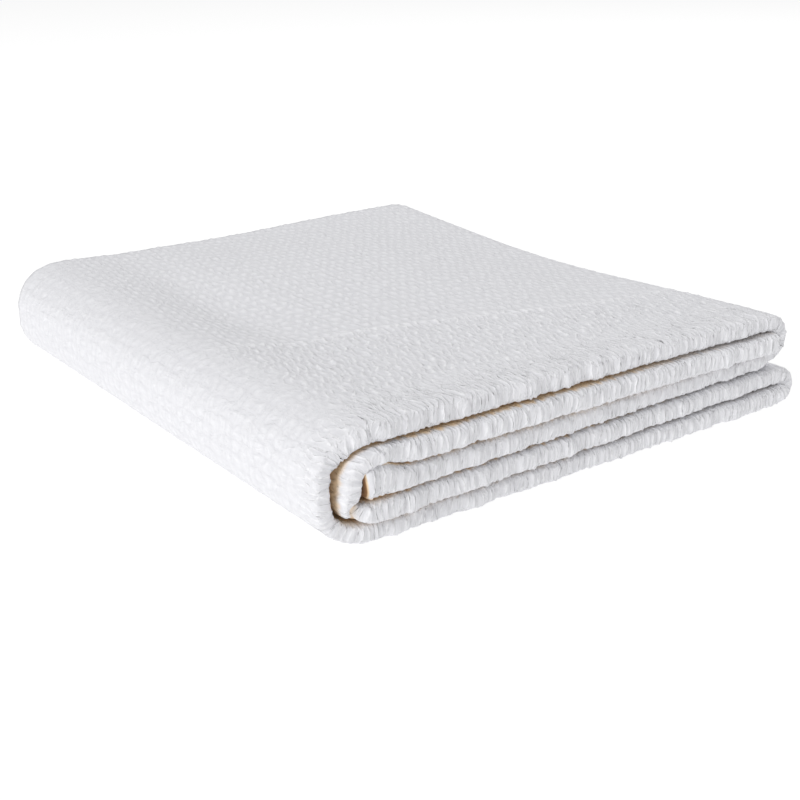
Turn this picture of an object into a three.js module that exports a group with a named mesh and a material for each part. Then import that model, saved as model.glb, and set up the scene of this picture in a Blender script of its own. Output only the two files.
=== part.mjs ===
// A folded matelasse coverlet. The cloth is folded to a quarter of its width, which makes a long
// strip four plies thick, and the strip is folded to and fro over itself in five layers.
//
// Millimetres. X runs from the round spine to the open folds, Y from the near face to the far
// one, Z up. The origin is on the floor, under the middle of the footprint.
import * as THREE from "three";

// Driving dimensions
const LENGTH = 496; // along X at the near face, from the spine to the fold that reaches furthest
const DEPTH = 533; // along Y, the width of the folded strip
const LAYER_GAP = 1.6; // air between two layers that lie on each other
const EDGE_ROUND = 0.5; // depth of a layer's rounded long edge, as a share of its thickness
const CLOTH_COLOR = 0xe9e9ee;

// The five layers from the top down. Thickness is that of the four plies together, at the spine
// and at the folds. start and stop are where the flat run lies between its bends or free ends,
// measured from the spine. The insets draw the near edge and the far edge into the stack.
const LAYERS = [
  { name: "top", spineThick: 17.1, foldThick: 16.8, start: 52, stop: 443, nearInset: [6, 7], farInset: [3, 0] },
  { name: "second", spineThick: 18, foldThick: 18.5, start: 53, stop: 449, nearInset: [2, 1], farInset: [6, 5] },
  { name: "third", spineThick: 18.3, foldThick: 15.5, start: 46, stop: 446, nearInset: [2, 13], farInset: [9, 4] },
  { name: "fourth", spineThick: 17.2, foldThick: 17.4, start: 52, stop: 467, nearInset: [4, 10], farInset: [7, 2] },
  { name: "bottom", spineThick: 14.6, foldThick: 17.8, start: 52, stop: 467, nearInset: [8, 5], farInset: [4, 1] },
];

// The way that the strip runs through the layers, from one free end to the other. Each bend
// carries it on into the next row: side is +1 at the open folds and -1 at the spine, reach is how
// far the bend's middle line goes past the runs, and squareness is 2 for an ellipse. At the
// middle of a bend the cloth is drawn thinner, and its edges are tucked in.
const ROUTE = [
  { layer: "third", side: 1, reach: 31, squareness: 2.1, thinning: 0.9, tuck: 3 },
  { layer: "top", side: -1, reach: 42, squareness: 2.65, thinning: 0.88, tuck: 6 },
  { layer: "bottom", side: 1, reach: 20.5, squareness: 2.2, thinning: 1, tuck: 2 },
  { layer: "fourth", side: -1, reach: 24.5, squareness: 2.2, thinning: 0.95, tuck: 3 },
  { layer: "second" },
];

// Height of the stack against its height at the near spine corner, at the other three corners
const FAR_SPINE_HEIGHT = 0.955;
const NEAR_FOLD_HEIGHT = 0.955;
const FAR_FOLD_HEIGHT = 1.03;

// Soft hollows of the lying cloth: middle, half size and depth as a share of the height
const HOLLOWS = [
  { x: 80, y: 285, halfX: 40, halfY: 125, depth: 0.07 },
  { x: 470, y: 300, halfX: 115, halfY: 208, depth: 0.16 },
  { x: 230, y: 520, halfX: 150, halfY: 90, depth: 0.075 },
];

// The spine stands out further to its far end than to its near one.
const SPINE_FLARE = 5;

// Steps of the mesh
const RUN_STEP = 36;
const BEND_STEPS = 12;
const EDGE_STEPS = 8;
const FACE_STEPS = 5;
const END_STEPS = 4;

const lerp = THREE.MathUtils.lerp;

// Share of the way from the spine side to the fold side, for a place along X
function acrossShare(x) {
  return THREE.MathUtils.clamp(x / LENGTH, 0, 1);
}

// Adds to each layer the heights of its middle at the spine and at the folds.
function stackLayers(layers) {
  let spineTop = 0;
  let foldTop = 0;
  const stacked = new Map();
  for (const layer of [...layers].reverse()) {
    stacked.set(layer.name, {
      ...layer,
      spineMiddle: spineTop + layer.spineThick / 2,
      foldMiddle: foldTop + layer.foldThick / 2,
    });
    spineTop += layer.spineThick + LAYER_GAP;
    foldTop += layer.foldThick + LAYER_GAP;
  }
  return stacked;
}

// One station of the strip's middle line in a layer's flat run
function runStation(layer, x) {
  const share = acrossShare(x);
  return {
    x,
    z: lerp(layer.spineMiddle, layer.foldMiddle, share),
    thick: lerp(layer.spineThick, layer.foldThick, share),
    near: lerp(layer.nearInset[0], layer.nearInset[1], share),
    far: lerp(layer.farInset[0], layer.farInset[1], share),
  };
}

// Stations of a flat run, from one X to the other
function runStations(layer, from, to) {
  const steps = Math.ceil(Math.abs(to - from) / RUN_STEP);
  return Array.from({ length: steps + 1 }, (_, i) => runStation(layer, lerp(from, to, i / steps)));
}

// A power of a sine or cosine that keeps its sign, for the superellipse of a bend
function signedPower(value, power) {
  return Math.sign(value) * Math.abs(value) ** power;
}

// Stations of a bend between the last station of one run and the first of the next
function bendStations(before, after, bend) {
  const halfHeight = (before.z - after.z) / 2;
  const middle = (before.z + after.z) / 2;
  return Array.from({ length: BEND_STEPS - 1 }, (_, i) => {
    const share = (i + 1) / BEND_STEPS;
    const angle = Math.PI * share;
    const turned = Math.sin(angle);
    const tucked = bend.tuck * turned;
    return {
      x:
        lerp(before.x, after.x, (1 - Math.cos(angle)) / 2) +
        bend.side * bend.reach * signedPower(turned, 2 / bend.squareness),
      z: middle + halfHeight * signedPower(Math.cos(angle), 2 / bend.squareness),
      thick: lerp(before.thick, after.thick, share) * lerp(1, bend.thinning, turned),
      near: lerp(before.near, after.near, share) + tucked,
      far: lerp(before.far, after.far, share) + tucked,
    };
  });
}

// All stations of the strip's middle line, from the third layer's free end to the second's
function stripStations() {
  const layers = stackLayers(LAYERS);
  const stations = [];
  let bend = { side: -1 };
  for (const row of ROUTE) {
    const { start, stop } = layers.get(row.layer);
    const [from, to] = bend.side < 0 ? [start, stop] : [stop, start];
    const run = runStations(layers.get(row.layer), from, to);
    if (stations.length > 0) {
      stations.push(...bendStations(stations.at(-1), run[0], bend));
    }
    stations.push(...run);
    bend = row;
  }
  return stations;
}

// Adds to each station the upward normal of the middle line, turned a quarter from its direction.
function addNormals(stations) {
  return stations.map((station, i) => {
    const before = stations[Math.max(i - 1, 0)];
    const after = stations[Math.min(i + 1, stations.length - 1)];
    const length = Math.hypot(after.x - before.x, after.z - before.z);
    return { ...station, normalX: -(after.z - before.z) / length, normalZ: (after.x - before.x) / length };
  });
}

// Rounds a free end off: extra stations run out of the last one, thinner and narrower as they go.
function endStations(end, outward) {
  const radius = end.thick / 2;
  return Array.from({ length: END_STEPS }, (_, i) => {
    const angle = ((i + 1) / (END_STEPS + 0.6)) * (Math.PI / 2);
    const shrink = 1 - Math.cos(angle);
    return {
      ...end,
      x: end.x + outward * radius * Math.sin(angle),
      thick: end.thick * Math.cos(angle),
      near: end.near + radius * shrink,
      far: end.far + radius * shrink,
    };
  });
}

// The ring of the strip's section as shares: across goes from 0 at the near edge to 1 at the far
// edge between the rounded edges, bulge is how far a rounded edge stands out past it, and lift
// goes from -1 on one face to +1 on the other.
function sectionRing() {
  const ring = [];
  for (let i = 0; i <= EDGE_STEPS; i++) {
    const angle = Math.PI * (i / EDGE_STEPS - 0.5);
    ring.push({ across: 0, bulge: -Math.cos(angle), lift: Math.sin(angle) });
  }
  for (let i = 1; i <= FACE_STEPS; i++) {
    ring.push({ across: i / (FACE_STEPS + 1), bulge: 0, lift: 1 });
  }
  for (let i = 0; i <= EDGE_STEPS; i++) {
    const angle = Math.PI * (0.5 - i / EDGE_STEPS);
    ring.push({ across: 1, bulge: Math.cos(angle), lift: Math.sin(angle) });
  }
  for (let i = FACE_STEPS; i >= 1; i--) {
    ring.push({ across: i / (FACE_STEPS + 1), bulge: 0, lift: -1 });
  }
  return ring;
}

// Height of the lying stack at a place, as a share of its height at the near spine corner
function heightShare(x, y) {
  const u = acrossShare(x);
  const v = THREE.MathUtils.clamp(y / DEPTH, 0, 1);
  let share = lerp(lerp(1, NEAR_FOLD_HEIGHT, u), lerp(FAR_SPINE_HEIGHT, FAR_FOLD_HEIGHT, u), v);
  for (const hollow of HOLLOWS) {
    const distance = ((x - hollow.x) / hollow.halfX) ** 2 + ((y - hollow.y) / hollow.halfY) ** 2;
    share -= hollow.depth * Math.exp(-distance);
  }
  return share;
}

// Place of one ring point at one station
function stripPoint(station, point) {
  const round = station.thick * EDGE_ROUND;
  const nearLine = station.near + round;
  const farLine = DEPTH - station.far - round;
  const lift = (point.lift * station.thick) / 2;
  const y = lerp(nearLine, farLine, point.across) + point.bulge * round;
  const flare = SPINE_FLARE * (y / DEPTH) * (1 - acrossShare(station.x));
  const x = station.x + station.normalX * lift - flare;
  const z = station.z + station.normalZ * lift;
  return [x - LENGTH / 2, y - DEPTH / 2, z * heightShare(x, y)];
}

// The strip as one closed body: rings joined along the stations, with a flat cap at each free end
function coverletGeometry() {
  const middle = addNormals(stripStations());
  const stations = [
    ...endStations(middle[0], -1).reverse(),
    ...middle,
    ...endStations(middle.at(-1), 1),
  ];
  const ring = sectionRing();
  const count = ring.length;
  const positions = stations.flatMap((station) => ring.flatMap((point) => stripPoint(station, point)));
  const triangles = [];
  for (let i = 0; i + 1 < stations.length; i++) {
    for (let j = 0; j < count; j++) {
      const a = i * count + j;
      const b = i * count + ((j + 1) % count);
      triangles.push(a, a + count, b, b, a + count, b + count);
    }
  }
  addCap(triangles, 0, count, false);
  addCap(triangles, (stations.length - 1) * count, count, true);
  const geometry = new THREE.BufferGeometry();
  geometry.setAttribute("position", new THREE.Float32BufferAttribute(positions, 3));
  geometry.setIndex(triangles);
  geometry.computeVertexNormals();
  return geometry;
}

// Closes a free end by joining each ring point to the one on the opposite face.
function addCap(triangles, first, count, isLast) {
  const add = (a, b, c) => {
    const corners = [a, b, c].map((k) => first + ((k + count) % count));
    if (new Set(corners).size === 3) {
      triangles.push(...(isLast ? corners.reverse() : corners));
    }
  };
  const half = count / 2;
  const tip = EDGE_STEPS / 2;
  for (let k = 0; k < half; k++) {
    const upper = tip + k;
    const lower = tip - k;
    add(lower, upper, upper + 1);
    add(lower, upper + 1, lower - 1);
  }
}

const cloth = new THREE.MeshStandardMaterial({ color: CLOTH_COLOR, roughness: 0.9, metalness: 0 });
const coverlet = new THREE.Mesh(coverletGeometry(), cloth);
coverlet.name = "coverlet";

const model = new THREE.Group();
model.add(coverlet);

export default model;
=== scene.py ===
"""A folded matelasse coverlet: one woven sheet in its real plies, its puckers, and a plain studio.

The cloth is folded to a quarter of its width, so a strip four plies thick comes out, and the strip
lies to and fro in five layers. A point of the cloth is given by s, the way along the strip, and by
its column, the place across the cloth from the hem of the outer ply to that of the innermost one.
Sizes are metres where nothing else is said.
"""
import logging
import math
from dataclasses import dataclass, field
from enum import Enum

import bpy
import numpy as np
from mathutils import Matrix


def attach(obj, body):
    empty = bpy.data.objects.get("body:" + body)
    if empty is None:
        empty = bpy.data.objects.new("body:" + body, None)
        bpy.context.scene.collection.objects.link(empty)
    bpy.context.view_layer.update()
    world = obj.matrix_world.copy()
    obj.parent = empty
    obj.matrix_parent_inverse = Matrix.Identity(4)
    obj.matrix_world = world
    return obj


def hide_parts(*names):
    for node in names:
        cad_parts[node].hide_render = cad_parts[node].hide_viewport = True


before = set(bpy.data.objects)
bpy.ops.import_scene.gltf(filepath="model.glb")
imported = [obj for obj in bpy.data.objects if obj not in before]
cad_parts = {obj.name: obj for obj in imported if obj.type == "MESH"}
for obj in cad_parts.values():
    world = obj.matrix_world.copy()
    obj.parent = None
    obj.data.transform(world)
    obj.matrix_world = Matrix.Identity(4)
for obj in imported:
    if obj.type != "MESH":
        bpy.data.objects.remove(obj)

log = logging.getLogger("coverlet")

MM = 0.001
COVERLET = "coverlet"

Pair = tuple[float, float]
Place = tuple[float, float, float]
Color = tuple[float, float, float, float]
Socket = bpy.types.NodeSocket


class Side(Enum):
    """The two sides where the strip turns back."""

    SPINE = -1
    FOLDS = 1


class Face(Enum):
    """The two faces of the cloth. The right side is outermost on the folded strip."""

    RIGHT = 1
    WRONG = -1


@dataclass(frozen=True)
class Layer:
    """One layer of the strip, in millimetres: thickness, flat run and insets at spine and folds."""

    spine_thick: float
    fold_thick: float
    start: float
    stop: float
    near_inset: Pair
    far_inset: Pair


@dataclass(frozen=True)
class Turn:
    """A bend that carries the strip from one layer into the next, in millimetres.

    Its first part may droop, which thickens the strip there on the side of its normal.
    """

    side: Side
    reach: float
    squareness: float
    thinning: float
    tuck: float
    droop: float = 0.0


@dataclass(frozen=True)
class Swell:
    """A bell along a layer's run, in millimetres: its middle, half size, thickening and lift."""

    layer: str
    x: float
    half: float
    thick: float
    lift: float


@dataclass(frozen=True)
class Hollow:
    """A soft hollow of the lying cloth: middle and half size in millimetres, depth as a share."""

    x: float
    y: float
    half_x: float
    half_y: float
    depth: float


def mix(a: np.ndarray | float, b: np.ndarray | float, share: np.ndarray | float) -> np.ndarray | float:
    """Straight blend from a to b."""
    return a + (b - a) * share


def smooth(low: float, high: float, value: np.ndarray) -> np.ndarray:
    """Soft step from 0 at low to 1 at high, as 3u^2 - 2u^3."""
    u = np.clip((value - low) / (high - low), 0.0, 1.0)
    return u * u * (3.0 - 2.0 * u)


def signed_power(value: np.ndarray, power: float) -> np.ndarray:
    """Power of a sine or cosine that keeps its sign, for a superellipse."""
    return np.sign(value) * np.abs(value) ** power


def way_along(rows: np.ndarray) -> np.ndarray:
    """Way along a line of samples, whose first two columns are x and z."""
    steps = np.linalg.norm(np.diff(rows[:, :2], axis=0), axis=1)
    return np.concatenate([[0.0], np.cumsum(steps)])


def soft_noise(points: np.ndarray, seed: int, waves: int = 7) -> np.ndarray:
    """Smooth noise as a sum of sine waves in random directions.

    Args:
        points: coordinates in units of the noise's own wavelength, the last axis holding them.
        seed: seed of the directions and phases.
        waves: number of sine waves.

    Returns:
        Values of about -1 to 1, one for each point.
    """
    rng = np.random.default_rng(seed)
    total = np.zeros(points.shape[:-1])
    for _ in range(waves):
        direction = rng.normal(size=points.shape[-1])
        direction *= rng.uniform(0.6, 1.5) / np.linalg.norm(direction)
        total += np.sin(2.0 * math.pi * (points @ direction) + rng.uniform(0.0, 2.0 * math.pi))
    return total / math.sqrt(waves * 1.5)


@dataclass(frozen=True)
class StripLine:
    """The strip's middle line sampled along its length, one entry a sample in each array."""

    s: np.ndarray
    place: np.ndarray
    normal: np.ndarray
    thick: np.ndarray
    near: np.ndarray
    far: np.ndarray
    runs: dict[str, Pair]

    @property
    def length(self) -> float:
        """Length of the strip."""
        return float(self.s[-1])

    def at(self, s: np.ndarray) -> "StripLine":
        """The line's values at other places along it.

        Args:
            s: ways along the strip, rising.

        Returns:
            A line with one sample for each s.
        """

        def pick(values: np.ndarray) -> np.ndarray:
            """Values at s, between the samples."""
            return np.interp(s, self.s, values)

        normal = np.stack([pick(self.normal[:, 0]), pick(self.normal[:, 1])], axis=1)
        normal /= np.linalg.norm(normal, axis=1)[:, None]
        place = np.stack([pick(self.place[:, 0]), pick(self.place[:, 1])], axis=1)
        return StripLine(s, place, normal, pick(self.thick), pick(self.near), pick(self.far), self.runs)


@dataclass
class FoldedStrip:
    """The way that the strip is folded: its layers from the top down, and its turns in order.

    end_reach is how far the run goes on at a free end, in millimetres. A droop comes and goes over
    shares of its bend.
    """

    length: float = 496 * MM
    depth: float = 533 * MM
    layer_gap: float = 1.6 * MM
    layers: dict[str, Layer] = field(
        default_factory=lambda: {
            "top": Layer(17.1, 16.8, 52, 443, (6, 7), (3, 0)),
            "second": Layer(18.0, 18.5, 53, 449, (2, 1), (6, 5)),
            "third": Layer(18.3, 15.5, 46, 446, (2, 13), (9, 4)),
            "fourth": Layer(17.2, 17.4, 45, 467, (4, 10), (7, 2)),
            "bottom": Layer(14.6, 17.8, 52, 467, (12, 5), (4, 1)),
        }
    )
    order: tuple[str, ...] = ("third", "top", "bottom", "fourth", "second")
    turns: tuple[Turn, ...] = (
        Turn(Side.FOLDS, 31, 2.1, 0.9, 3),
        Turn(Side.SPINE, 43, 2.65, 0.8, 7, droop=5),
        Turn(Side.FOLDS, 20.5, 2.2, 1.0, 2),
        Turn(Side.SPINE, 21.5, 2.9, 1.0, 3),
    )
    swells: tuple[Swell, ...] = (Swell("third", 44, 17, 9, 4.5), Swell("second", 44, 17, -9, 4.5))
    end_reach: float = 9.5
    end_round: float = 4 * MM
    droop_comes: Pair = (0.04, 0.26)
    droop_goes: Pair = (0.41, 0.34)
    run_samples: int = 160
    turn_samples: int = 240

    def middles(self) -> dict[str, Pair]:
        """Heights of each layer's middle at the spine and at the folds, stacked from the floor."""
        heights = {}
        spine_top = fold_top = 0.0
        for name, layer in reversed(self.layers.items()):
            spine, fold = layer.spine_thick * MM, layer.fold_thick * MM
            heights[name] = (spine_top + spine / 2, fold_top + fold / 2)
            spine_top += spine + self.layer_gap
            fold_top += fold + self.layer_gap
        return heights

    def run(self, name: str, side: Side) -> np.ndarray:
        """Samples of a layer's flat run, which goes on a little at the cloth's own ends.

        Args:
            name: the layer.
            side: the side that the run starts from.

        Returns:
            Rows of x, z, thickness, near inset, far inset and droop.
        """
        layer = self.layers[name]
        low = layer.start - (self.end_reach if name == self.order[0] else 0.0)
        high = layer.stop + (self.end_reach if name == self.order[-1] else 0.0)
        ends = (low, high) if side is Side.SPINE else (high, low)
        x = np.linspace(ends[0] * MM, ends[1] * MM, self.run_samples)
        share = np.clip(x / self.length, 0.0, 1.0)
        height = mix(*self.middles()[name], share)
        thick = mix(layer.spine_thick, layer.fold_thick, share) * MM
        for swell in self.swells:
            if swell.layer == name:
                bell = np.exp(-(((x / MM - swell.x) / swell.half) ** 2))
                height = height + swell.lift * MM * bell
                thick = thick + swell.thick * MM * bell
        near, far = (mix(*inset, share) * MM for inset in (layer.near_inset, layer.far_inset))
        return np.stack([x, height, thick, near, far, np.zeros_like(x)], axis=1)

    def bend(self, before: np.ndarray, after: np.ndarray, turn: Turn) -> np.ndarray:
        """Samples of a bend: half a superellipse from one run's end to the next one's start.

        Args:
            before: the last sample before the bend.
            after: the first sample after it.
            turn: the bend's form.

        Returns:
            Rows as run gives them, without the two end samples.
        """
        share = np.linspace(0.0, 1.0, self.turn_samples)[1:-1]
        angle = math.pi * share
        turned = np.sin(angle)
        bulge = turn.side.value * turn.reach * MM * signed_power(turned, 2 / turn.squareness)
        rise = signed_power(np.cos(angle), 2 / turn.squareness) * (before[1] - after[1]) / 2
        rows = mix(before, after, share[:, None])
        rows[:, 0] = mix(before[0], after[0], (1 - np.cos(angle)) / 2) + bulge
        rows[:, 1] = (before[1] + after[1]) / 2 + rise
        rows[:, 2] *= mix(1.0, turn.thinning, turned)
        rows[:, 5] = turn.droop * MM * smooth(*self.droop_comes, share) * smooth(*self.droop_goes, share)
        rows[:, 3:5] += (turn.tuck * MM * turned)[:, None]
        return rows

    def end_shares(self, rows: np.ndarray) -> np.ndarray:
        """How far the near corner is drawn in beside both free ends, as a quarter circle: 0 to 1."""
        s = way_along(rows)
        away = np.clip(np.minimum(s, s[-1] - s) / self.end_round, 0.0, 1.0)
        return 1.0 - np.sqrt(1.0 - (1.0 - away) ** 2)

    def line(self) -> StripLine:
        """The whole middle line, from the free end of the third layer to that of the second."""
        side = Side.SPINE
        parts = []
        borders = {}
        for index, name in enumerate(self.order):
            run = self.run(name, side)
            if parts:
                parts.append(self.bend(parts[-1][-1], run[0], self.turns[index - 1]))
            first = sum(len(part) for part in parts)
            borders[name] = (first, first + len(run) - 1)
            parts.append(run)
            side = Side.FOLDS if side is Side.SPINE else Side.SPINE
        rows = np.concatenate(parts)
        rows[:, 3] += self.end_round * self.end_shares(rows)
        s = way_along(rows)
        runs = {name: (float(s[first]), float(s[last])) for name, (first, last) in borders.items()}
        even = np.linspace(0.0, s[-1], len(s) * 2)
        rows = np.stack([np.interp(even, s, column) for column in rows.T], axis=1)
        along = np.gradient(rows[:, :2], axis=0)
        along /= np.linalg.norm(along, axis=1)[:, None]
        normal = np.stack([-along[:, 1], along[:, 0]], axis=1)
        place = rows[:, :2] + normal * rows[:, 5:] / 2
        return StripLine(even, place, normal, rows[:, 2] + rows[:, 5], rows[:, 3], rows[:, 4], runs)


@dataclass
class Lie:
    """How the folded stack lies: its height at the corners, its soft hollows and its spine."""

    far_spine_height: float = 0.955
    near_fold_height: float = 0.955
    far_fold_height: float = 1.03
    spine_flare: float = 5 * MM
    hollows: tuple[Hollow, ...] = (
        Hollow(105, 330, 32, 150, 0.075),
        Hollow(120, 285, 90, 130, 0.09),
        Hollow(470, 300, 115, 208, 0.16),
        Hollow(230, 520, 150, 90, 0.075),
    )

    def height_share(self, x: np.ndarray, y: np.ndarray, strip: FoldedStrip) -> np.ndarray:
        """Height of the stack as a share of that at the near spine corner.

        It is a blend of the four corners' heights, less a bell for each hollow.

        Args:
            x: distance from the spine.
            y: distance from the near face.
            strip: the folded strip, for its length and depth.

        Returns:
            The share at each place.
        """
        u = np.clip(x / strip.length, 0.0, 1.0)
        v = np.clip(y / strip.depth, 0.0, 1.0)
        near = mix(1.0, self.near_fold_height, u)
        share = mix(near, mix(self.far_spine_height, self.far_fold_height, u), v)
        for hollow in self.hollows:
            away_x = (x / MM - hollow.x) / hollow.half_x
            away_y = (y / MM - hollow.y) / hollow.half_y
            share = share - hollow.depth * np.exp(-(away_x**2) - away_y**2)
        return share


@dataclass(frozen=True)
class Stretch:
    """A stretch of the cloth across the strip, and how many steps a hidden mesh gives it."""

    name: str
    right: int
    wrong: int


@dataclass
class PlyFolds:
    """The four plies of the strip in section, as a line across the cloth.

    The line runs from the outer ply's hem at the far side along that ply, round the outer fold at
    the near side, along the ply at the other face, round the far fold, back along the next ply,
    round the inner fold and along the last ply to its hem at the far side. The hems and the two
    smaller folds lie back from the edges by shares of a ply's pitch. The nose is the outermost
    place of the outer fold, and the cloth up to turn_in can be seen from the near side.
    """

    cloth_share: float = 0.8
    fullness: float = 3.8
    hem_width: float = 15 * MM
    hem_extra: float = 0.16
    hem_step: float = 3 * MM
    stretches: tuple[Stretch, ...] = (
        Stretch("outer ply", 9, 9),
        Stretch("outer fold", 12, 4),
        Stretch("under ply", 7, 5),
        Stretch("far fold", 5, 3),
        Stretch("third ply", 5, 5),
        Stretch("inner fold", 3, 3),
        Stretch("inner ply", 7, 5),
    )
    outer_hem_back: float = 0.3
    inner_hem_back: float = 0.6
    far_fold_back: float = 1.0
    inner_fold_back: float = 0.6
    edge_share: float = 0.028
    lip_share: float = 0.025
    open_steps: int = 128
    nose: float = 1.5
    turn_in: float = 2.2

    def hidden(self, right: bool) -> np.ndarray:
        """Places across the cloth for a coarse mesh, as stretch number plus share of the stretch.

        Args:
            right: true for the right side of the cloth, false for the wrong side.

        Returns:
            Rising values from 0 to the number of stretches.
        """
        parts = []
        for index, stretch in enumerate(self.stretches):
            steps = stretch.right if right else stretch.wrong
            share = np.linspace(0.0, 1.0, steps + 1)
            if index == 0:
                share[1] = self.lip_share
            if index == len(self.stretches) - 1:
                share[-2] = 1 - self.lip_share
            parts.append(index + share[:-1])
        return np.concatenate([*parts, [float(len(self.stretches))]])

    def open_ply(self) -> np.ndarray:
        """Places across the outer ply where it shows, up to the edge strip's start."""
        return np.linspace(0.0, 1 - self.edge_share, self.open_steps + 1)

    def edge_strip(self) -> np.ndarray:
        """Places across the near edge: the last of the outer ply, the outer fold and the turn-in."""
        places = np.linspace(1.0, 2.0, self.stretches[1].right + 1)
        return np.concatenate([[1 - self.edge_share / 2], places, [2 + self.edge_share / 2]])

    def tucked_plies(self) -> np.ndarray:
        """Places across the plies that lie inside, past the edge strip."""
        every = self.hidden(True)
        return np.concatenate([[2 + self.edge_share], every[every > 2 + self.edge_share]])

    def section(self, line: StripLine, columns: np.ndarray, depth: float) -> dict[str, np.ndarray]:
        """The middle of the cloth in the strip's section, at each station and column.

        Flat stretches are straight. Folds are half circles, the outer one fuller. The plies lie
        half a pitch and one and a half pitches from the strip's middle.

        Args:
            line: the strip's stations.
            columns: places across the cloth, as stretch number plus share of the stretch.
            depth: depth of the stack.

        Returns:
            Arrays y, lift, out_y, out_lift, w and half: the place in the section, the direction
            of the cloth's right side there, the way along the cloth from the outer fold's nose
            (positive on the outer ply), and half the cloth's thickness.
        """
        pitch = (line.thick / 4)[:, None]
        kind = np.minimum(columns.astype(int), len(self.stretches) - 1)[None, :]
        share = columns[None, :] - kind
        edge = depth - line.far[:, None]
        near = line.near[:, None] + 2 * pitch
        inner = near + self.inner_fold_back * pitch
        far = edge - self.far_fold_back * pitch
        outer_hem, inner_hem = edge - self.outer_hem_back * pitch, edge - self.inner_hem_back * pitch
        sine, cosine = np.sin(math.pi * share), np.cos(math.pi * share)
        full_sine, full_cosine = (signed_power(value, 2 / self.fullness) for value in (sine, cosine))
        flat, high, low = 0 * share, 1.5 * pitch, 0.5 * pitch
        choices = {
            "outer ply": (mix(outer_hem, near, share), flat - high, flat, flat - 1),
            "outer fold": (near - high * full_sine, -high * full_cosine, -sine, -cosine),
            "under ply": (mix(near, far, share), flat + high, flat, flat + 1),
            "far fold": (far + low * sine, pitch + low * cosine, sine, cosine),
            "third ply": (mix(far, inner, share), flat + low, flat, flat - 1),
            "inner fold": (inner - low * sine, low * cosine, sine, -cosine),
            "inner ply": (mix(inner, inner_hem, share), flat - low, flat, flat + 1),
        }
        out = {}
        for slot, key in enumerate(("y", "lift", "out_y", "out_lift")):
            value = np.zeros((len(line.s), len(columns)))
            for number, stretch in enumerate(self.stretches):
                value = np.where(kind == number, choices[stretch.name][slot], value)
            out[key] = value
        quarter = high * math.pi / 2
        way = np.where(kind == 0, out["y"] - near + quarter, (0.5 - share) * 2 * quarter)
        out["w"] = np.where(kind <= 1, way, near - out["y"] - quarter)
        extra = self.hem_extra * self.hem(line, kind, out["y"], edge)
        out["half"] = self.cloth_share * pitch / 2 * (1 + extra)
        return out

    def hem(self, line: StripLine, kind: np.ndarray, y: np.ndarray, edge: np.ndarray) -> np.ndarray:
        """Share of a hem's extra thickness, 1 on the turned edges and 0 past the stitching."""
        side = smooth(self.hem_width + self.hem_step, self.hem_width, edge - y)
        side = np.where((kind == 0) | (kind == len(self.stretches) - 1), side, 0.0)
        ends = np.minimum(line.s, line.s[-1] - line.s)[:, None]
        return np.maximum(side, smooth(self.hem_width + self.hem_step, self.hem_width, ends))


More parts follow.
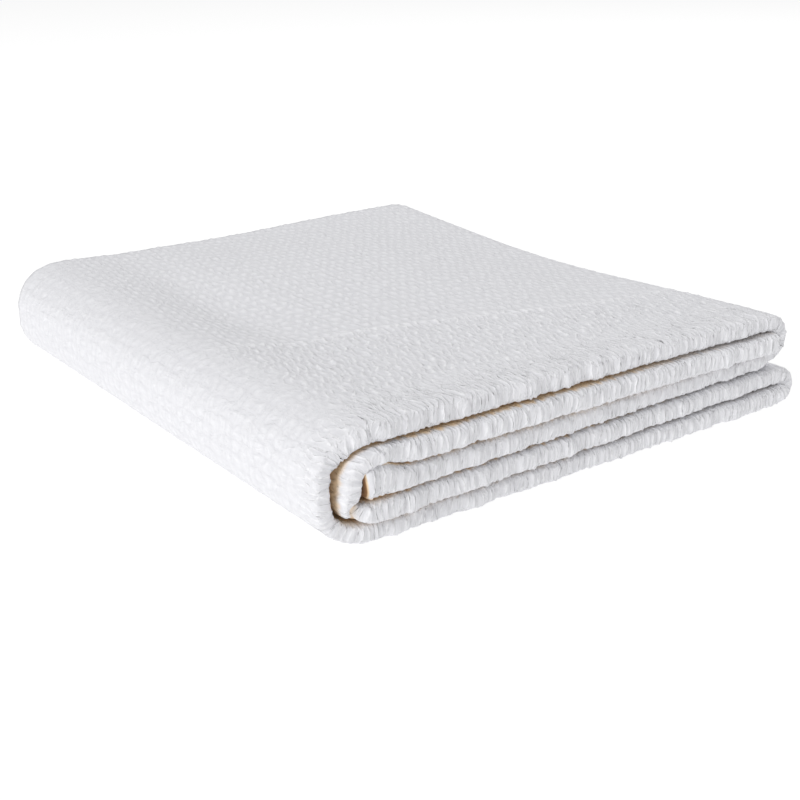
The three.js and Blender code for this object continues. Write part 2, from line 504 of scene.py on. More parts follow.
@dataclass(frozen=True)
class Puckers:
    """The woven puckers: pebbles in the field, strokes in the border, squares round the spine.

    Pebbles and strokes lie on one lattice of four waves, in columns that run across the strip. On
    the near edge the strokes grow into long ridges, and a row of crossed strokes, the seam, lies
    where field and border meet. The lattice holds each wave's counts a column and a pitch.
    """

    column: float = 7.5 * MM
    pitch: float = 13.8 * MM
    lattice: tuple[Pair, ...] = ((1.0, 0.0), (0.75, 1.0), (0.25, -1.0), (1.25, 1.0))
    pebble_waves: tuple[float, ...] = (1 / 3, 1 / 3, 1 / 3, 1 / 6)
    pebble_height: float = 0.65 * MM
    stroke_waves: tuple[float, ...] = (0.2, 0.25, 0.2, 0.6)
    stroke_height: float = 1.0 * MM
    ridge_stroke: Pair = (6.4 * MM, 21.0 * MM)
    ridge_height: float = 1.05 * MM
    ridge_sharpness: float = 2.0
    ridge_level: float = 0.4
    ridge_zone: Pair = (60 * MM, 25 * MM)
    square: float = 10.3 * MM
    square_height: float = 0.5 * MM
    square_turns: float = 0.25
    square_level: float = 0.4
    seam_stroke: Pair = (9 * MM, 14 * MM)
    seam_height: float = 0.8 * MM
    seam_sharpness: float = 3.0
    seam_level: float = 0.3
    border_width: float = 155 * MM
    border_swing: float = 48 * MM
    border_wave: float = 850 * MM
    border_start: float = 955 * MM
    border_step: float = 12 * MM
    patch: float = 9 * MM
    crumple: float = 0.22 * MM
    broken_level: float = 0.75
    broken_range: Pair = (0.15, 1.6)
    uneven: float = 0.3
    uneven_size: float = 14 * MM
    wander: float = 1.3 * MM
    wander_sizes: Pair = (31 * MM, 13 * MM)
    cross_wander: float = 2.08 * MM
    cross_size: float = 22 * MM
    tight_wander: float = 0.45 * MM
    tight_size: float = 8 * MM

    def border_share(self, s: np.ndarray, w: np.ndarray) -> np.ndarray:
        """1 in the border beside the outer fold, which isn't quite parallel to it, 0 in the field."""
        swing = np.cos(2.0 * math.pi * (s - self.border_start) / self.border_wave)
        width = self.border_width + self.border_swing * swing
        return smooth(width + self.border_step, width, np.abs(w))

    def warp(self, s: np.ndarray, w: np.ndarray) -> tuple[np.ndarray, np.ndarray]:
        """Places on the pattern, which wanders a little over the cloth, as woven puckers do.

        Args:
            s: way along the strip.
            w: way across the cloth from the nose of the outer fold.

        Returns:
            The ways s and w on the pattern.
        """
        places = np.stack([s, w], axis=-1)
        wide, narrow = (
            soft_noise(places / size, seed) for size, seed in zip(self.wander_sizes, (11, 14))
        )
        tight = soft_noise(places / self.tight_size, seed=17)
        along = s + self.wander * (wide + 0.6 * narrow) + self.tight_wander * tight
        return along, w + self.cross_wander * soft_noise(places / self.cross_size, seed=12)

    def crossed(self, s: np.ndarray, w: np.ndarray, stroke: Pair) -> list[np.ndarray]:
        """Two crossed families of strokes, |cos(pi (s/a + w/b))| and |cos(pi (s/a - w/b))|."""
        return [np.abs(np.cos(math.pi * (s / stroke[0] + sign * w / stroke[1]))) for sign in (1, -1)]

    def relief(self, s: np.ndarray, w: np.ndarray, spine: np.ndarray) -> np.ndarray:
        """Height of the puckers over the cloth's middle level.

        Each wave of the lattice is cos(2 pi (a u + b v)), with u the count of columns and v the way
        across in pitches. A pebble is where the first three waves meet, and the fourth makes every
        other column unlike the next. A stroke lies along the fourth. Ridges are powers of one
        crossed family or the other. Squares are pillows, raised by turns. The seam is the higher of
        two crossed families, where the border's share is between 0 and 1.

        Args:
            s: way along the strip.
            w: way across the cloth from the nose of the outer fold.
            spine: 1 round the spine, 0 elsewhere.

        Returns:
            Heights, about even round 0.
        """
        places = np.stack([s, w], axis=-1)
        uneven = 1.0 + self.uneven * soft_noise(places / self.uneven_size, seed=13)
        broken = self.broken_level * (1.0 + soft_noise(places / self.patch, seed=15))
        broken = np.clip(broken, *self.broken_range)
        crumple = self.crumple * soft_noise(places / self.patch, seed=16, waves=11)
        turn = smooth(-0.5, 0.5, soft_noise(places / self.patch, seed=21))
        border = self.border_share(s, w)
        edge = smooth(*self.ridge_zone, np.abs(w))
        s, w = self.warp(s, w)
        u, v = s / self.column, w / self.pitch
        waves = [np.cos(2.0 * math.pi * (along * u + across * v)) for along, across in self.lattice]
        pebble = sum(share * wave for share, wave in zip(self.pebble_waves, waves))
        stroke = sum(share * wave for share, wave in zip(self.stroke_waves, waves)) * broken
        ridge = mix(*self.crossed(s, w, self.ridge_stroke), turn) ** self.ridge_sharpness
        ridge = (ridge - self.ridge_level) * broken
        pillow = np.cos(math.pi * s / self.square) * np.cos(math.pi * w / self.square)
        square = np.abs(pillow) + self.square_turns * pillow - self.square_level
        seam = np.maximum(*self.crossed(s, w, self.seam_stroke)) ** self.seam_sharpness
        seam = self.seam_height * 4 * border * (1 - border) * (seam - self.seam_level)
        worked = mix(self.stroke_height * stroke, self.ridge_height * ridge, edge) + crumple
        flat = mix(self.pebble_height * pebble, worked, border) + seam
        return uneven * mix(flat, self.square_height * square, spine)


@dataclass(frozen=True)
class Crease:
    """A fold across the near edge of a bend, steep on one side and soft on the other: in metres.

    It goes from outer, on the flank outside the bend, to inner, on the one inside it. Both are
    measured along the strip from the end of the layer's run.
    """

    layer: str
    outer: float
    inner: float
    flank: float
    width: float
    depth: float


@dataclass
class Coverlet:
    """The coverlet as one closed sheet: right side, wrong side, hems and ends.

    Each point carries its tuck, which is 0 in the open and grows between the layers. By it the cloth
    gets painted shade, tan and then brown, where it lies in the gaps between the layers; less so
    towards the folds, where more light comes in, and not at the far edge.
    """

    strip: FoldedStrip = field(default_factory=FoldedStrip)
    lie: Lie = field(default_factory=Lie)
    plies: PlyFolds = field(default_factory=PlyFolds)
    puckers: Puckers = field(default_factory=Puckers)
    open_step: float = 1.95 * MM
    edge_step: float = 1.3 * MM
    hidden_step: float = 8.0 * MM
    cut_width: float = 2.10
    cut_length: float = 2.45
    show_zone: Pair = (-14 * MM, -5.6 * MM)
    sway: float = 1.2 * MM
    sway_reach: float = 16 * MM
    sway_sizes: Pair = (46 * MM, 15 * MM)
    spine_zone: Pair = (1.1, 0.6)
    spine_edge: Pair = (8 * MM, 35 * MM)
    creases: tuple[Crease, ...] = (
        Crease("fourth", 14 * MM, 28 * MM, 9 * MM, 9 * MM, 4.5 * MM),
    )
    crease_zone: Pair = (2.4, 1.0)
    crease_edge: float = 0.2
    # Share of painted shade in the crease's dark core.
    crease_core_painted_shade: float = 0.3
    tuck_zone: Pair = (7.7 * MM, 12 * MM)
    tuck_wobble: float = 0.9 * MM
    tuck_wobble_size: float = 9 * MM
    tuck_step: float = 20 * MM
    deep_zone: Pair = (9.2 * MM, 15 * MM)
    deep_share: float = 0.32
    wrap_flank: float = 18 * MM
    end_face: float = 1.3 * MM
    fold_zone: Pair = (180 * MM, 420 * MM)
    fold_tuck: float = 0.25
    far_zone: Pair = (9 * MM, 24 * MM)

    def ways(self, low: float, high: float, step: float) -> np.ndarray:
        """Even ways along the strip from low to high, about a step apart."""
        return np.linspace(low, high, max(2, round((high - low) / step)) + 1)

    def surface(self, line: StripLine, columns: np.ndarray, face: Face) -> "Patch":
        """A patch of one face of the cloth, with its places on the cloth.

        A point is the middle line's place, moved along the strip's normal by the ply's lift, and
        along the cloth's own normal by half its thickness and, on the right side, its puckers.

        Args:
            line: the stations.
            columns: places across the cloth.
            face: right or wrong side.

        Returns:
            The patch.
        """
        cut = self.plies.section(line, columns, self.strip.depth)
        w = cut["w"]
        s = np.broadcast_to(line.s[:, None], w.shape)
        spine = self.spine(line, s, w)
        offset = face.value * cut["half"]
        outward = (columns <= self.plies.turn_in)[None, :]
        if face is Face.RIGHT:
            shows = outward * smooth(*self.show_zone, w)
            offset = offset + shows * self.puckers.relief(s, w, spine)
        offset = offset - outward * self.trough(line, s, w)
        wide, narrow = (
            soft_noise(s[..., None] / size, seed) for size, seed in zip(self.sway_sizes, (5, 6))
        )
        sway = self.sway * np.exp(-((w / self.sway_reach) ** 2)) * (wide + 0.5 * narrow)
        y = cut["y"] + offset * cut["out_y"] + sway
        lift = cut["lift"] + offset * cut["out_lift"]
        x = line.place[:, 0:1] + line.normal[:, 0:1] * lift
        z = line.place[:, 1:2] + line.normal[:, 1:2] * lift
        to_folds = 1 - line.place[:, 0:1] / self.strip.length
        x = x - np.clip(self.lie.spine_flare * (y / self.strip.depth) * to_folds, 0.0, None)
        z = np.maximum(z * self.lie.height_share(x, y, self.strip), 0.0)
        points = np.stack([x - self.strip.length / 2, y - self.strip.depth / 2, z], axis=-1)
        pattern = np.stack(self.puckers.warp(s, w), axis=-1)
        border = self.puckers.border_share(s, w)
        return Patch(line.s, columns, points, pattern, self.tuck(line, cut, columns), border, spine)

    def spine(self, line: StripLine, s: np.ndarray, w: np.ndarray) -> np.ndarray:
        """1 where the cloth is drawn round the spine, 0 on its near edge and the rest."""
        start, end = line.runs["top"][1], line.runs["bottom"][0]
        middle, half = (start + end) / 2, (end - start) / 2
        round_spine = smooth(*self.spine_zone, np.abs(s - middle) / half)
        return round_spine * smooth(*self.spine_edge, w)

    def trough(self, line: StripLine, s: np.ndarray, w: np.ndarray) -> np.ndarray:
        """Depth of the creases, each a bell along the strip, cut off steeply past its line."""
        depth = np.zeros_like(s)
        for crease in self.creases:
            share = np.clip((w + crease.flank) / (2 * crease.flank), 0.0, 1.0)
            away = s - line.runs[crease.layer][1] - mix(crease.outer, crease.inner, share)
            width = np.where(away > 0, self.crease_edge, 1.0) * crease.width
            fade = smooth(*self.crease_zone, np.abs(w) / crease.flank)
            depth += crease.depth * fade * np.exp(-((away / width) ** 2))
        return depth

    def tuck(self, line: StripLine, cut: dict[str, np.ndarray], columns: np.ndarray) -> np.ndarray:
        """How far each point is tucked between the layers, which sets its painted shade.

        Args:
            line: the stations.
            cut: the section's arrays.
            columns: places across the cloth.

        Returns:
            0 in the open, 0.5 just inside, more deep inside.
        """
        w = cut["w"]
        s = np.broadcast_to(line.s[:, None], w.shape)
        wobble = soft_noise(line.s[:, None, None] / self.tuck_wobble_size, seed=31)
        away = np.abs(w) + self.tuck_wobble * wobble
        flank = np.where(w < 0, self.wrap_flank * self.wrapped(line)[:, None], 0.0)
        deep = self.deep_share * smooth(*self.deep_zone, away - flank)
        inside = (smooth(*self.tuck_zone, away) + deep) / 2
        covered = np.where((columns > self.plies.nose)[None, :], 1.0, self.between(line)[:, None])
        creased = self.trough(line, s, w) / sum(crease.depth for crease in self.creases)
        outward = (columns <= self.plies.turn_in)[None, :]
        # Painted shade in the crease's core, darkest where it is deepest.
        folded = np.where(outward, self.crease_core_painted_shade * creased**3, 0.0)
        # Painted shade on the free end's face, down in the hole beside it.
        end = smooth(self.end_face, 0.0, s)
        tucked = np.maximum(np.maximum(covered * inside, folded), end)
        lit = mix(1.0, self.fold_tuck, smooth(*self.fold_zone, line.place[:, 0:1]))
        from_far = self.strip.depth - line.far[:, None] - cut["y"]
        return tucked * lit * smooth(*self.far_zone, from_far)

    def wrapped(self, line: StripLine) -> np.ndarray:
        """1 where the strip is wrapped round the spine, 0 elsewhere."""
        wrap = np.zeros_like(line.s)
        for before, after in (("top", "bottom"), ("fourth", "second")):
            start, stop = line.runs[before][1], line.runs[after][0]
            begun = smooth(start - self.tuck_step, start, line.s)
            wrap += begun * smooth(stop + self.tuck_step, stop, line.s)
        return wrap

    def between(self, line: StripLine) -> np.ndarray:
        """1 where the strip's outer face lies on another layer, 0 where it is open."""
        opens, closes = line.runs["third"][1], line.runs["fourth"][0]
        before = smooth(opens, opens - self.tuck_step, line.s)
        return np.maximum(before, smooth(closes, closes + self.tuck_step, line.s))

    def outer_ply(self, mesh: "ClothMesh", line: StripLine) -> list["Grid"]:
        """Adds the outer ply's right side: fine where it is open, coarse where it is covered.

        Args:
            mesh: the mesh to add to.
            line: the strip's middle line.

        Returns:
            The patches in their order along the strip, joined.
        """
        every = self.plies.hidden(True)
        last = 1 - self.plies.edge_share
        coarse = np.concatenate([every[every < last], [last]])
        third, bottom, fourth = (line.runs[name] for name in ("third", "bottom", "fourth"))
        spans = (
            (0.0, third[1] - self.hidden_step, False),
            (third[1], bottom[0] + self.open_step, True),
            (bottom[0] + self.hidden_step, bottom[1] - self.hidden_step, False),
            (bottom[1], fourth[0], True),
            (fourth[0] + self.hidden_step, line.length, False),
        )
        patches = []
        for low, high, is_open in spans:
            ways = self.ways(low, high, self.open_step if is_open else self.hidden_step)
            columns = self.plies.open_ply() if is_open else coarse
            patches.append(mesh.add(self.surface(line.at(ways), columns, Face.RIGHT)))
        for first, second in zip(patches[:-1], patches[1:]):
            mesh.join(first.row(-1), second.row(0))
        return patches

    def sew(self, line: StripLine) -> "ClothMesh":
        """The mesh of both sides of the cloth, joined along their hems and ends.

        Args:
            line: the strip's middle line.

        Returns:
            The closed mesh.
        """
        mesh = ClothMesh()
        outer = self.outer_ply(mesh, line)
        edge_line = line.at(self.ways(0.0, line.length, self.edge_step))
        hidden_line = line.at(self.ways(0.0, line.length, self.hidden_step))
        edge = mesh.add(self.surface(edge_line, self.plies.edge_strip(), Face.RIGHT))
        inner = mesh.add(self.surface(hidden_line, self.plies.tucked_plies(), Face.RIGHT))
        wrong = mesh.add(self.surface(hidden_line, self.plies.hidden(False), Face.WRONG), turned=True)
        mesh.join(chain(*(patch.column(-1) for patch in outer)), edge.column(0), turned=True)
        mesh.join(edge.column(-1), inner.column(0), turned=True)
        mesh.join(chain(*(patch.column(0) for patch in outer)), wrong.column(0))
        mesh.join(inner.column(-1), wrong.column(-1), turned=True)
        mesh.join(wrong.row(0), chain(outer[0].row(0), edge.row(0), inner.row(0)))
        mesh.join(chain(outer[-1].row(-1), edge.row(-1), inner.row(-1)), wrong.row(-1))
        return mesh

    def build(self, finish: "MatelasseCotton") -> bpy.types.Object:
        """Args:
            finish: the cloth's finish.

        Returns:
            The finished object.
        """
        line = self.strip.line()
        mesh = self.sew(line)
        cloth = mesh.finish("coverlet_cloth")
        cloth.data.materials.append(finish.material(self.puckers))
        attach(cloth, "root")
        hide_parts(COVERLET)
        log.info("strip length %.3f m, %d triangles", line.length, mesh.triangles)
        return cloth


@dataclass(frozen=True)
class Patch:
    """A grid of cloth points: places along and across the cloth, and what each point carries."""

    along: np.ndarray
    across: np.ndarray
    points: np.ndarray
    pattern: np.ndarray
    tuck: np.ndarray
    border: np.ndarray
    spine: np.ndarray


@dataclass(frozen=True)
class Edge:
    """A line of mesh points with their places along it."""

    numbers: np.ndarray
    places: np.ndarray


@dataclass(frozen=True)
class Grid:
    """The point numbers of a patch in the mesh."""

    numbers: np.ndarray
    along: np.ndarray
    across: np.ndarray

    def row(self, index: int) -> Edge:
        """One row of the patch, which runs across the cloth."""
        return Edge(self.numbers[index], self.across)

    def column(self, index: int) -> Edge:
        """One column of the patch, which runs along the strip."""
        return Edge(self.numbers[:, index], self.along)


def chain(*edges: Edge) -> Edge:
    """Several edges as one, in their order."""
    return Edge(np.concatenate([e.numbers for e in edges]), np.concatenate([e.places for e in edges]))


class ClothMesh:
    """Collects patches of cloth and the faces in and between them."""

    def __init__(self) -> None:
        """Starts an empty mesh."""
        self.patches: list[Patch] = []
        self.faces: list[np.ndarray] = []
        self.count = 0
        self.triangles = 0

    def add(self, patch: Patch, turned: bool = False) -> Grid:
        """Adds a patch's points and its own faces.

        Args:
            patch: the patch.
            turned: true to turn its faces round.

        Returns:
            The numbers of its points.
        """
        shape = patch.points.shape[:2]
        numbers = self.count + np.arange(shape[0] * shape[1]).reshape(shape)
        self.count += numbers.size
        self.patches.append(patch)
        corners = (numbers[:-1, :-1], numbers[:-1, 1:], numbers[1:, 1:], numbers[1:, :-1])
        self.keep(np.stack([corner.ravel() for corner in corners], axis=1), turned)
        return Grid(numbers, patch.along, patch.across)

    def keep(self, faces: np.ndarray, turned: bool) -> None:
        """Keeps faces, turned round or not."""
        self.faces.append(faces if turned else faces[:, ::-1])
        self.triangles += len(faces) * (faces.shape[1] - 2)

    def join(self, first: Edge, second: Edge, turned: bool = False) -> None:
        """Fills the space between two edges with triangles, always to the nearer next point.

        Args:
            first: one edge.
            second: the other one, which may have another number of points.
            turned: true to turn the faces round.
        """
        i = j = 0
        triangles = []
        while i < len(first.numbers) - 1 or j < len(second.numbers) - 1:
            ahead = first.places[i + 1] if i < len(first.numbers) - 1 else math.inf
            behind = second.places[j + 1] if j < len(second.numbers) - 1 else math.inf
            if ahead <= behind:
                triangles.append((first.numbers[i], first.numbers[i + 1], second.numbers[j]))
                i += 1
            else:
                triangles.append((first.numbers[i], second.numbers[j + 1], second.numbers[j]))
                j += 1
        self.keep(np.array(triangles), turned)

    def gather(self, name: str, width: int) -> np.ndarray:
        """One value of all patches' points, as a list with a row for each point."""
        return np.concatenate([getattr(patch, name).reshape(-1, width) for patch in self.patches])

    def finish(self, name: str) -> bpy.types.Object:
        """Makes the object, with the pattern's places as a UV map and the rest as attributes."""
        mesh = bpy.data.meshes.new(name)
        faces = [face for block in self.faces for face in block.tolist()]
        mesh.from_pydata(self.gather("points", 3).tolist(), [], faces)
        corners = np.zeros(len(mesh.loops), dtype=np.int32)
        mesh.loops.foreach_get("vertex_index", corners)
        layer = mesh.uv_layers.new(name="cloth")
        layer.data.foreach_set("uv", self.gather("pattern", 2)[corners].ravel())
        # tuck carries the painted shade between the layers; border and spine carry the pattern's zones.
        for value in ("tuck", "border", "spine"):
            attribute = mesh.attributes.new(value, "FLOAT", "POINT")
            attribute.data.foreach_set("value", self.gather(value, 1).ravel())
        mesh.shade_smooth()
        mesh.update()
        obj = bpy.data.objects.new(name, mesh)
        bpy.context.scene.collection.objects.link(obj)
        return obj


class NodeSums:
    """Writes a material's nodes: each method adds a node or a few and gives the output."""

    def __init__(self, tree: bpy.types.NodeTree) -> None:
        """Takes the tree to write into."""
        self.tree = tree

    def math(self, operation: str, *values: object) -> Socket:
        """One Math node on numbers and outputs.

        Args:
            operation: name of the operation.
            values: numbers, or outputs of other nodes.

        Returns:
            The node's output.
        """
        node = self.tree.nodes.new("ShaderNodeMath")
        node.operation = operation
        for socket, value in zip(node.inputs, values):
            if isinstance(value, (int, float)):
                socket.default_value = value
            else:
                self.tree.links.new(value, socket)
        return node.outputs[0]

    def plus(self, first: object, second: object) -> Socket:
        """Sum of two values."""
        return self.math("ADD", first, second)

    def times(self, first: object, second: object) -> Socket:
        """Product of two values."""
        return self.math("MULTIPLY", first, second)

    def mix(self, first: object, second: object, share: object) -> Socket:
        """Straight blend from the first value to the second."""
        node = self.tree.nodes.new("ShaderNodeMix")
        for socket, value in zip((node.inputs[0], node.inputs[2], node.inputs[3]), (share, first, second)):
            self.tree.links.new(value, socket)
        return node.outputs[0]

    def color(self, first: object, second: object, share: object) -> Socket:
        """Blend from the first colour to the second, each a colour or an output."""
        node = self.tree.nodes.new("ShaderNodeMix")
        node.data_type = "RGBA"
        for socket, value in zip((node.inputs[0], node.inputs[6], node.inputs[7]), (share, first, second)):
            if isinstance(value, tuple):
                socket.default_value = value
            else:
                self.tree.links.new(value, socket)
        return node.outputs[2]

    def step(self, value: object, low: float, high: float) -> Socket:
        """Soft step from 0 at low to 1 at high."""
        node = self.tree.nodes.new("ShaderNodeMapRange")
        node.interpolation_type = "SMOOTHSTEP"
        node.inputs["From Min"].default_value = low
        node.inputs["From Max"].default_value = high
        self.tree.links.new(value, node.inputs["Value"])
        return node.outputs["Result"]

    def wave(self, value: object) -> Socket:
        """cos(2 pi v) of a value."""
        return self.math("COSINE", self.times(value, 2.0 * math.pi))

    def hump(self, operation: str, value: object) -> Socket:
        """|sin(pi v)| or |cos(pi v)| of a value."""
        return self.math("ABSOLUTE", self.math(operation, self.times(value, math.pi)))

    def crossed(self, operation: str, s: Socket, w: Socket, stroke: Pair) -> list[Socket]:
        """The humps of two crossed families of strokes, as Puckers.crossed has them.

        Args:
            operation: SINE or COSINE.
            s: way along the strip.
            w: way across the cloth.
            stroke: distance between two strokes along the strip, and across it.

        Returns:
            The two humps.
        """
        along = self.math("DIVIDE", s, stroke[0])
        across = self.math("DIVIDE", w, stroke[1])
        return [self.hump(operation, self.math(sign, along, across)) for sign in ("ADD", "SUBTRACT")]

    def attribute(self, name: str) -> Socket:
        """A value that the mesh's points carry."""
        node = self.tree.nodes.new("ShaderNodeAttribute")
        node.attribute_name = name
        return node.outputs["Fac"]

    def noise(self, place: Socket, scale: float) -> Socket:
        """Fine noise at a place of the pattern."""
        node = self.tree.nodes.new("ShaderNodeTexNoise")
        node.inputs["Scale"].default_value = scale
        node.inputs["Detail"].default_value = 3.0
        self.tree.links.new(place, node.inputs["Vector"])
        return node.outputs["Fac"]

    def bump(self, height: Socket, depth: float, under: Socket | None = None) -> Socket:
        """A normal from a height, over another normal where there is one.

        Args:
            height: the height, from 0 to 1.
            depth: what a height of 1 is in metres.
            under: the normal below, or None.

        Returns:
            The normal.
        """
        node = self.tree.nodes.new("ShaderNodeBump")
        node.inputs["Distance"].default_value = depth
        self.tree.links.new(height, node.inputs["Height"])
        if under is not None:
            self.tree.links.new(under, node.inputs["Normal"])
        return node.outputs["Normal"]


@dataclass(frozen=True)
class MatelasseCotton:
    """Bleached matelasse cotton: matt, finely woven, creased between its puckers.

    Shares and levels weigh the puckers' fine relief, which also paints the cloth between a painted
    shade colour in its valleys and a painted highlight colour on its crests. Scales are per metre,
    those of turn and broken per patch of the puckers, and depths are of the bump.
    """

    # Painted highlight on the puckers' crests and painted shade in their valleys.
    painted_highlight_color: Color = (0.94, 0.94, 0.965, 1.0)
    painted_valley_shade_color: Color = (0.725, 0.725, 0.755, 1.0)
    # Painted shade: tan just inside the gaps between the layers, brown deeper in, where the cloth lies in
    # shade.
    painted_gap_shade_color: Color = (0.90, 0.68, 0.44, 1.0)
    painted_deep_shade_color: Color = (0.34, 0.17, 0.07, 1.0)
    roughness: float = 0.9
    shine: float = 0.15
    sheen: float = 0.15
    sheen_roughness: float = 0.6
    weave_scale: float = 950.0
    weave_depth: float = 0.3 * MM
    crease_scale: float = 250.0
    crease_stretch: Place = (1.5, 0.5, 1.0)
    crease_depth: float = 1.2 * MM
    # Share of the fine creases in the painted shade and highlight.
    painted_crease_shade_share: float = 0.7
    pucker_depth: float = 0.7 * MM
    pebble_zone: Pair = (-1.0, 3.0)
    pebble_share: float = 0.36
    field_level: float = 0.3
    dash_zone: Pair = (-1.8, 1.2)
    stroke_power: float = 2.2
    border_level: float = 0.25
    thread: float = 4.5 * MM
    thread_power: float = 1.6
    thread_share: float = 1.5
    turn_scale: float = 0.7
    turn_zone: Pair = (0.42, 0.58)
    broken_scale: float = 2.1
    broken_zone: Pair = (0.2, 0.7)
    square_power: float = 0.45
    square_share: float = 0.4
    square_level: float = 0.22
    seam_power: float = 5.0
    seam_share: float = 0.45

    def material(self, puckers: Puckers) -> bpy.types.Material:
        """The cloth's material, on its pattern map and the values that its points carry.

        Args:
            puckers: sizes of the woven puckers, which the fine relief repeats.

        Returns:
            The material.
        """
        material = bpy.data.materials.new("matelasse cotton")
        material.use_nodes = True
        tree = material.node_tree
        shader = tree.nodes["Principled BSDF"]
        shader.inputs["Roughness"].default_value = self.roughness
        shader.inputs["Specular IOR Level"].default_value = self.shine
        shader.inputs["Sheen Weight"].default_value = self.sheen
        shader.inputs["Sheen Roughness"].default_value = self.sheen_roughness
        pattern = tree.nodes.new("ShaderNodeUVMap")
        pattern.uv_map = "cloth"
        place = pattern.outputs["UV"]
        stretched = tree.nodes.new("ShaderNodeMapping")
        stretched.inputs["Scale"].default_value = self.crease_stretch
        tree.links.new(place, stretched.inputs["Vector"])
        sums = NodeSums(tree)
        relief = self.pucker_field(sums, place, puckers)
        creases = sums.noise(stretched.outputs["Vector"], self.crease_scale)
        # The fine creases darken and lighten the colour too, as painted shade and highlight.
        painted_crease_shade = sums.times(sums.math("SUBTRACT", creases, 0.5), self.painted_crease_shade_share)
        tuck = sums.attribute("tuck")
        # Painted highlight on crests and painted shade in valleys and creases, then painted shade, tan and
        # brown, by how far the cloth is tucked between the layers.
        color = sums.color(self.painted_valley_shade_color, self.painted_highlight_color, sums.plus(relief, painted_crease_shade))
        color = sums.color(color, self.painted_gap_shade_color, sums.step(tuck, 0.0, 0.5))
        color = sums.color(color, self.painted_deep_shade_color, sums.step(tuck, 0.5, 1.0))
        normal = sums.bump(relief, self.pucker_depth)
        normal = sums.bump(creases, self.crease_depth, normal)
        normal = sums.bump(sums.noise(place, self.weave_scale), self.weave_depth, normal)
        tree.links.new(color, shader.inputs["Base Color"])
        tree.links.new(normal, shader.inputs["Normal"])
        return material

    def pucker_field(self, sums: NodeSums, place: Socket, puckers: Puckers) -> Socket:
        """The puckers as Puckers.relief has them, for the fine bump between mesh points and for the painted
        shade and highlight.

        Args:
            sums: the material's nodes.
            place: the place on the pattern.
            puckers: sizes of the puckers.

        Returns:
            Relief from 0 to about 1.
        """
        split = sums.tree.nodes.new("ShaderNodeSeparateXYZ")
        sums.tree.links.new(place, split.inputs[0])
        s, w = split.outputs[0], split.outputs[1]
        u = sums.math("DIVIDE", s, puckers.column)
        v = sums.math("DIVIDE", w, puckers.pitch)
        ways = [sums.plus(sums.times(u, along), sums.times(v, across)) for along, across in puckers.lattice]
        first, second, third, fourth = (sums.wave(way) for way in ways)
        met = sums.plus(sums.plus(first, second), sums.plus(third, sums.times(fourth, 0.5)))
        pebble = sums.times(sums.step(met, *self.pebble_zone), self.pebble_share)
        pebble = sums.plus(pebble, self.field_level)
        stroke = sums.math("POWER", sums.hump("COSINE", ways[-1]), self.stroke_power)
        stroke = sums.times(stroke, sums.step(sums.plus(first, second), *self.dash_zone))
        broken = sums.step(sums.noise(place, self.broken_scale / puckers.patch), *self.broken_zone)
        edge = sums.step(sums.math("ABSOLUTE", w), *puckers.ridge_zone)
        worked = sums.mix(stroke, self.threads(sums, place, [s, w], puckers), edge)
        worked = sums.plus(sums.times(worked, broken), self.border_level)
        pillows = [sums.hump("COSINE", sums.math("DIVIDE", way, puckers.square)) for way in (s, w)]
        square = sums.math("POWER", sums.times(*pillows), self.square_power)
        square = sums.times(sums.times(square, self.square_share), broken)
        square = sums.plus(square, self.square_level)
        border = sums.attribute("border")
        crossed = sums.math("MAXIMUM", *sums.crossed("COSINE", s, w, puckers.seam_stroke))
        seam = sums.times(border, sums.math("SUBTRACT", 1.0, border))
        seam = sums.times(seam, sums.math("POWER", crossed, self.seam_power))
        flat = sums.plus(sums.mix(pebble, worked, border), sums.times(seam, 4 * self.seam_share))
        return sums.mix(flat, square, sums.attribute("spine"))

    def threads(self, sums: NodeSums, place: Socket, ways: list[Socket], puckers: Puckers) -> Socket:
        """Fine threads on the near edge's ridges, now of one slant and now of the other.

        Args:
            sums: the material's nodes.
            place: the place on the pattern.
            ways: its ways along the strip and across the cloth.
            puckers: sizes of the puckers.

        Returns:
            Relief from 0 to thread_share.
        """
        slants = sums.crossed("SINE", *ways, (self.thread, puckers.ridge_stroke[1]))
        peaks = [sums.math("SUBTRACT", 1.0, slant) for slant in slants]
        sharp = [sums.math("POWER", peak, self.thread_power) for peak in peaks]
        turn = sums.step(sums.noise(place, self.turn_scale / puckers.patch), *self.turn_zone)
        return sums.times(sums.mix(*sharp, turn), self.thread_share)


@dataclass(frozen=True)
class Lamp:
    """A square soft lamp that faces the coverlet: place and size in metres, power in watts."""

    name: str
    place: Place
    size: float
    power: float

    def build(self) -> None:
        """Makes the lamp and turns it to the middle of the floor."""
        light = bpy.data.lights.new(self.name, "AREA")
        light.size = self.size
        light.energy = self.power
        lamp = bpy.data.objects.new(self.name, light)
        lamp.location = self.place
        x, y, z = self.place
        lamp.rotation_euler = (math.atan2(math.hypot(x, y), z), 0.0, math.atan2(x, -y))
        bpy.context.scene.collection.objects.link(lamp)


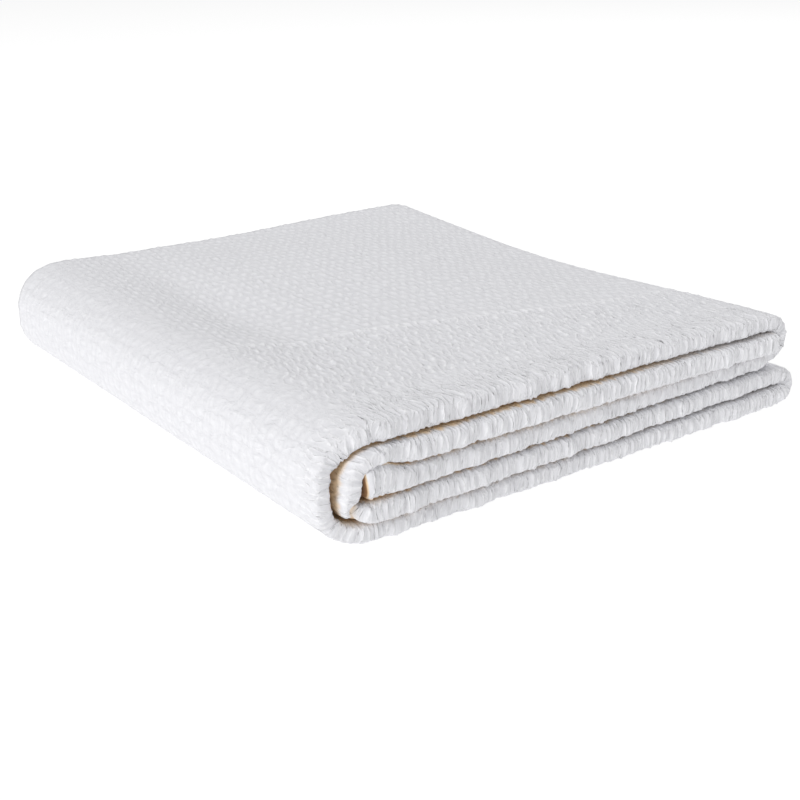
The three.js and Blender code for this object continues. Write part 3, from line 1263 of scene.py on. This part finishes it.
@dataclass
class Studio:
    """A plain white studio: a pale floor, a soft sky and three broad lamps."""

    camera_place: Place = (-0.6263, -0.8494, 0.3888)
    camera_down: float = 21.30
    camera_turn: float = 36.85
    photo_focal_px: float = 1220.9
    photo_side_px: float = 800.0
    sensor_mm: float = 36.0
    floor_half: float = 20.0
    floor_grey: float = 0.3
    floor_glow: float = 0.8
    floor_roughness: float = 0.8
    sky_strength: float = 0.36
    lamps: tuple[Lamp, ...] = (
        Lamp("spine_lamp", (-5.905, -1.364, 3.5), 3.0, 258.0),
        Lamp("front_lamp", (1.6, -3.4, 0.6), 2.4, 20.0),
        Lamp("top_lamp", (3.2, 0.9, 4.6), 2.6, 97.0),
    )

    def build(self) -> None:
        """Makes the floor, the lights and the camera."""
        self.floor()
        self.sky()
        for lamp in self.lamps:
            lamp.build()
        self.camera()

    def floor(self) -> None:
        """The pale floor that the coverlet lies on."""
        half = self.floor_half
        mesh = bpy.data.meshes.new("floor")
        corners = [(-half, -half, 0.0), (half, -half, 0.0), (half, half, 0.0), (-half, half, 0.0)]
        mesh.from_pydata(corners, [], [(0, 1, 2, 3)])
        floor = bpy.data.objects.new("floor", mesh)
        material = bpy.data.materials.new("pale floor")
        material.use_nodes = True
        shader = material.node_tree.nodes["Principled BSDF"]
        shader.inputs["Base Color"].default_value = (*(self.floor_grey,) * 3, 1.0)
        shader.inputs["Roughness"].default_value = self.floor_roughness
        shader.inputs["Specular IOR Level"].default_value = 0.0
        shader.inputs["Emission Color"].default_value = (1.0, 1.0, 1.0, 1.0)
        shader.inputs["Emission Strength"].default_value = self.floor_glow
        mesh.materials.append(material)
        bpy.context.scene.collection.objects.link(floor)

    def sky(self) -> None:
        """An even soft light from all round."""
        world = bpy.data.worlds.new("studio")
        bpy.context.scene.world = world
        world.use_nodes = True
        background = world.node_tree.nodes["Background"]
        background.inputs["Color"].default_value = (1.0, 1.0, 1.0, 1.0)
        background.inputs["Strength"].default_value = self.sky_strength

    def camera(self) -> None:
        """The camera at the photograph's place, with its lens."""
        data = bpy.data.cameras.new("camera")
        data.sensor_width = self.sensor_mm
        data.lens = self.sensor_mm * self.photo_focal_px / self.photo_side_px
        camera = bpy.data.objects.new("camera", data)
        camera.location = self.camera_place
        camera.rotation_euler = (math.radians(90 - self.camera_down), 0.0, math.radians(-self.camera_turn))
        bpy.context.scene.collection.objects.link(camera)
        bpy.context.scene.camera = camera
        bpy.context.scene.view_settings.view_transform = "Standard"


def main() -> None:
    logging.basicConfig(level=logging.INFO)
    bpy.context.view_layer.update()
    Studio().build()
    coverlet = Coverlet().build(MatelasseCotton())
    log.info("built %s", coverlet.name)


if __name__ == "__main__":
    main()
